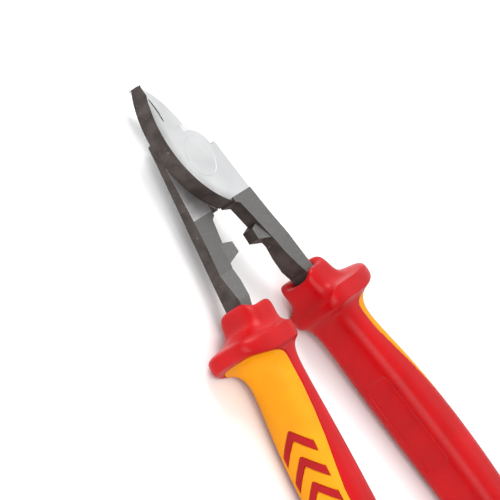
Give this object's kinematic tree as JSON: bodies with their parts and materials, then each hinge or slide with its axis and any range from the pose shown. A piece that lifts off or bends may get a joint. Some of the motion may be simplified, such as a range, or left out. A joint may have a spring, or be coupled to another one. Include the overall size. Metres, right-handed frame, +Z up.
{
  "type": "cable cutter",
  "caption": "Hand cable cutter: two lapped steel levers with hooked shear blades on a rivet, and flared two-tone insulated grips.",
  "frame": {"origin": "centre of the bounding box in X and Y, on the plane the tool lies on", "axes": "+Y from the grips toward the blade tips, +Z up, square to the lap plane of the levers, +X toward the front lever's grip"},
  "size_m": [0.0824, 0.1803, 0.02],
  "materials": {
    "forged_steel": "satin",
    "rivet_steel": "ground",
    "hard_red": "semi-gloss",
    "soft_yellow": "matte",
    "chevron_red": "semi-gloss"
  },
  "bodies": {
    "rear_half": {"rear_lever": "forged_steel", "pivot_rivet": "rivet_steel", "rear_grip_sleeve": "hard_red", "rear_grip_skin": "soft_yellow", "rear_grip_chevron_1": "chevron_red", "rear_grip_chevron_2": "chevron_red", "rear_grip_chevron_3": "chevron_red", "rear_grip_chevron_4": "chevron_red", "rear_grip_chevron_5": "chevron_red", "rear_grip_chevron_6": "chevron_red"},
    "front_half": {"front_lever": "forged_steel", "front_grip_sleeve": "hard_red", "front_grip_skin": "soft_yellow", "front_grip_chevron_1": "chevron_red", "front_grip_chevron_2": "chevron_red", "front_grip_chevron_3": "chevron_red", "front_grip_chevron_4": "chevron_red", "front_grip_chevron_5": "chevron_red", "front_grip_chevron_6": "chevron_red"}
  },
  "joints": [
    {"name": "pivot", "type": "hinge", "parent": "rear_half", "child": "front_half", "pos_m": [0, 0.063, 0.0088], "axis": [0, 0, 1], "range_deg": [-20, 24]}
  ]
}
